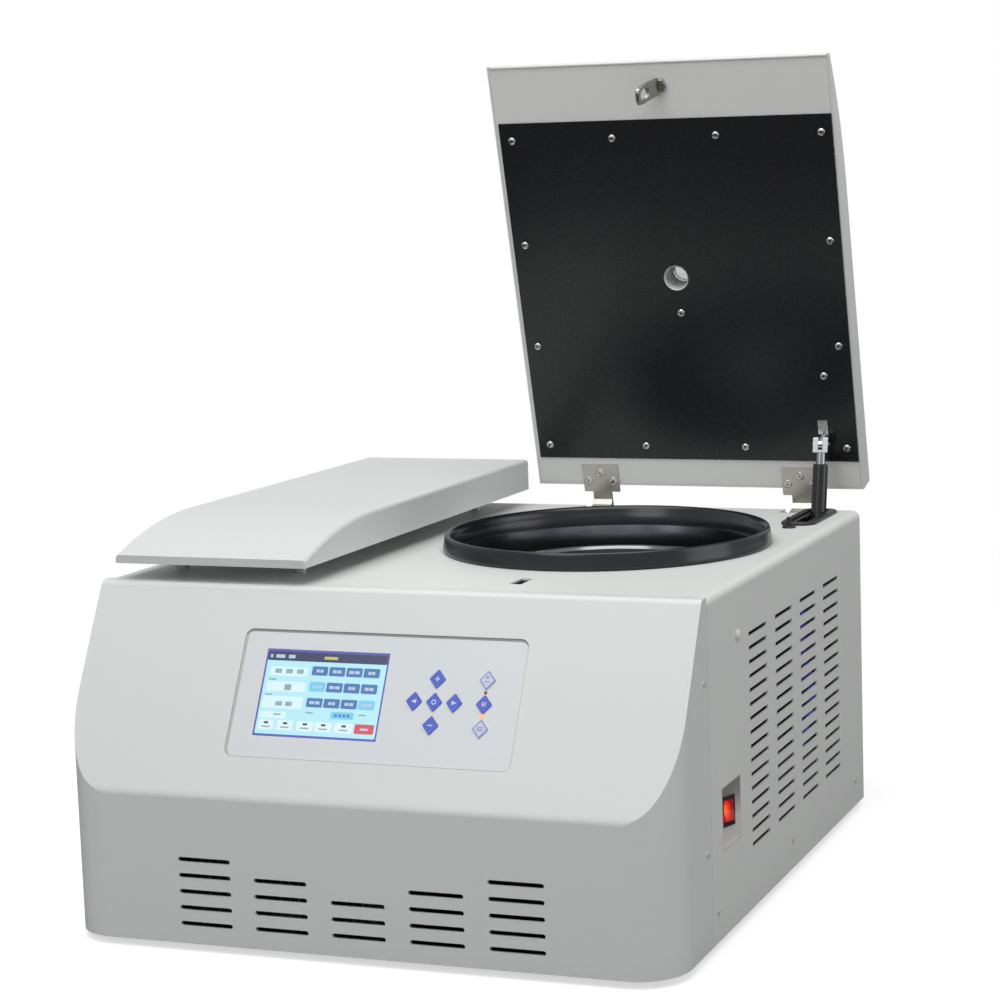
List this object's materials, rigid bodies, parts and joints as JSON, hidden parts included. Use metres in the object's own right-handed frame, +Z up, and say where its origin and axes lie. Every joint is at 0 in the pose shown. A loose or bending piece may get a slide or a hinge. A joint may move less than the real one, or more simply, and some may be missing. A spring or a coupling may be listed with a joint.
{
  "type": "refrigerated benchtop centrifuge",
  "caption": "Refrigerated high-speed bench centrifuge with a side-hinged control housing, a lid on a gas spring, a cooled chamber with an angle rotor, and a sloping control panel.",
  "frame": {"origin": "on the table under the middle of the cabinet", "axes": "+X to the right seen from the front, +Y to the back, +Z up; the lid stands open"},
  "size_m": [0.6624, 0.7713, 0.8928],
  "materials": {
    "moulding_white": "satin",
    "paint_white": "satin",
    "pan_grey": "satin",
    "zinc_steel": "satin",
    "foot_rubber": "matte",
    "post_steel": "satin",
    "screw_steel": "satin",
    "nickel_steel": "satin",
    "black_plastic": "matte",
    "black_rubber": "matte",
    "seal_rubber": "satin",
    "lock_steel": "satin",
    "bright_steel": "polished",
    "white_plastic": "satin",
    "bowl_steel": "brushed",
    "foam_grey": "matte",
    "copper": "satin",
    "motor_aluminium": "satin",
    "rotor_aluminium": "satin",
    "panel_grey": "satin",
    "screen_glass": "gloss",
    "led_orange": "gloss",
    "board_green": "matte",
    "key_blue": "satin",
    "key_pale": "satin",
    "rocker_red": "gloss",
    "compressor_black": "gloss",
    "fin_aluminium": "satin",
    "wire_blue": "satin",
    "port_white": "satin",
    "port_glass": "polished",
    "black_paint": "satin"
  },
  "bodies": {
    "cabinet": {"base_plate": "zinc_steel", "feet": "foot_rubber", "front_moulding": "moulding_white", "cabinet_wrap": "paint_white", "rear_panel": "paint_white", "side_cover": "paint_white", "cover_posts": "post_steel", "panel_screws": "screw_steel", "hinge_brackets": "nickel_steel", "hinge_pins": "nickel_steel", "strut_anchor": "zinc_steel", "boot_plate": "black_plastic", "lid_stop": "black_rubber", "lid_lock": "lock_steel", "chamber_seal": "seal_rubber", "chamber_bowl": "bowl_steel", "foam_jacket": "foam_grey", "evaporator_coil": "copper", "drive_motor": "motor_aluminium", "motor_plate": "zinc_steel", "motor_mounts": "foot_rubber", "control_panel": "panel_grey", "screen": "screen_glass", "status_leds": "led_orange", "control_board": "board_green", "switch_pocket": "moulding_white", "switch_frame": "black_plastic", "power_inlet": "black_plastic", "compressor": "compressor_black", "condenser": "fin_aluminium", "fan_shroud": "black_plastic", "drive_inverter": "motor_aluminium", "wiring_loom": "wire_blue", "wire_clips": "white_plastic"},
    "lid": {"lid_shell": "paint_white", "lid_pan": "pan_grey", "lid_liner": "black_plastic", "lid_screws": "screw_steel", "port_insert": "port_white", "port_glass": "port_glass", "hinge_arms": "nickel_steel", "striker": "bright_steel", "strut_bracket": "zinc_steel"},
    "strut_cylinder": {"strut_cylinder": "black_paint"},
    "strut_rod": {"strut_rod": "bright_steel"},
    "rotor": {"drive_shaft": "bright_steel", "rotor": "rotor_aluminium"},
    "rotor_nut": {"rotor_nut": "bright_steel"},
    "condenser_fan": {"condenser_fan": "black_plastic"},
    "power_rocker": {"power_rocker": "rocker_red"},
    "release_plug": {"release_plug": "white_plastic"},
    "lock_bolt": {"lock_bolt": "bright_steel"},
    "key_plus": {"key_plus": "key_blue"},
    "key_left": {"key_left": "key_blue"},
    "key_enter": {"key_enter": "key_blue"},
    "key_right": {"key_right": "key_blue"},
    "key_minus": {"key_minus": "key_blue"},
    "key_program": {"key_program": "key_pale"},
    "key_start": {"key_start": "key_blue"},
    "key_stop": {"key_stop": "key_pale"}
  },
  "joints": [
    {"name": "lid_hinge", "type": "hinge", "parent": "cabinet", "child": "lid", "pos_m": [0.126, 0.346, 0.337], "axis": [1, 0, 0], "range_deg": [0, 76]},
    {"name": "strut_pivot", "type": "hinge", "parent": "lid", "child": "strut_cylinder", "pos_m": [0.288, 0.34752, 0.43838], "axis": [1, 0, 0], "range_deg": [-50, 0]},
    {"name": "strut_slide", "type": "slide", "parent": "strut_cylinder", "child": "strut_rod", "axis": [0, 0.2239, 0.9746], "range_m": [0, 0.0775]},
    {"name": "rotor_spin", "type": "hinge", "parent": "cabinet", "child": "rotor", "pos_m": [0.12, 0.06, 0.25], "axis": [0, 0, 1], "continuous": true},
    {"name": "rotor_nut_turn", "type": "hinge", "parent": "rotor", "child": "rotor_nut", "pos_m": [0.12, 0.06, 0.315], "axis": [0, 0, 1], "continuous": true},
    {"name": "fan_spin", "type": "hinge", "parent": "cabinet", "child": "condenser_fan", "pos_m": [-0.12, -0.283, 0.0755], "axis": [0, 1, 0], "continuous": true},
    {"name": "power_rocker_tilt", "type": "hinge", "parent": "cabinet", "child": "power_rocker", "pos_m": [0.32076, -0.16497, 0.1265], "axis": [0.3011, 0.9536, 0], "range_deg": [0, 18]},
    {"name": "release_plug_pull", "type": "slide", "parent": "cabinet", "child": "release_plug", "axis": [1, 0, 0], "range_m": [0, 0.012]},
    {"name": "lock_bolt_slide", "type": "slide", "parent": "cabinet", "child": "lock_bolt", "axis": [1, 0, 0], "range_m": [0, 0.016], "stiffness_N_per_m": 150},
    {"name": "key_plus_press", "type": "slide", "parent": "cabinet", "child": "key_plus", "axis": [0, 0.8796, -0.4757], "range_m": [0, 0.0006], "stiffness_N_per_m": 800},
    {"name": "key_left_press", "type": "slide", "parent": "cabinet", "child": "key_left", "axis": [0, 0.8796, -0.4757], "range_m": [0, 0.0006], "stiffness_N_per_m": 800},
    {"name": "key_enter_press", "type": "slide", "parent": "cabinet", "child": "key_enter", "axis": [0, 0.8796, -0.4757], "range_m": [0, 0.0006], "stiffness_N_per_m": 800},
    {"name": "key_right_press", "type": "slide", "parent": "cabinet", "child": "key_right", "axis": [0, 0.8796, -0.4757], "range_m": [0, 0.0006], "stiffness_N_per_m": 800},
    {"name": "key_minus_press", "type": "slide", "parent": "cabinet", "child": "key_minus", "axis": [0, 0.8796, -0.4757], "range_m": [0, 0.0006], "stiffness_N_per_m": 800},
    {"name": "key_program_press", "type": "slide", "parent": "cabinet", "child": "key_program", "axis": [0, 0.8796, -0.4757], "range_m": [0, 0.0006], "stiffness_N_per_m": 800},
    {"name": "key_start_press", "type": "slide", "parent": "cabinet", "child": "key_start", "axis": [0, 0.8796, -0.4757], "range_m": [0, 0.0006], "stiffness_N_per_m": 800},
    {"name": "key_stop_press", "type": "slide", "parent": "cabinet", "child": "key_stop", "axis": [0, 0.8796, -0.4757], "range_m": [0, 0.0006], "stiffness_N_per_m": 800}
  ],
  "couplings": [
    {"joint": "strut_pivot", "follows": "lid_hinge", "ratio": -0.65219},
    {"joint": "strut_slide", "follows": "lid_hinge", "m_per_rad": 0.057998}
  ]
}
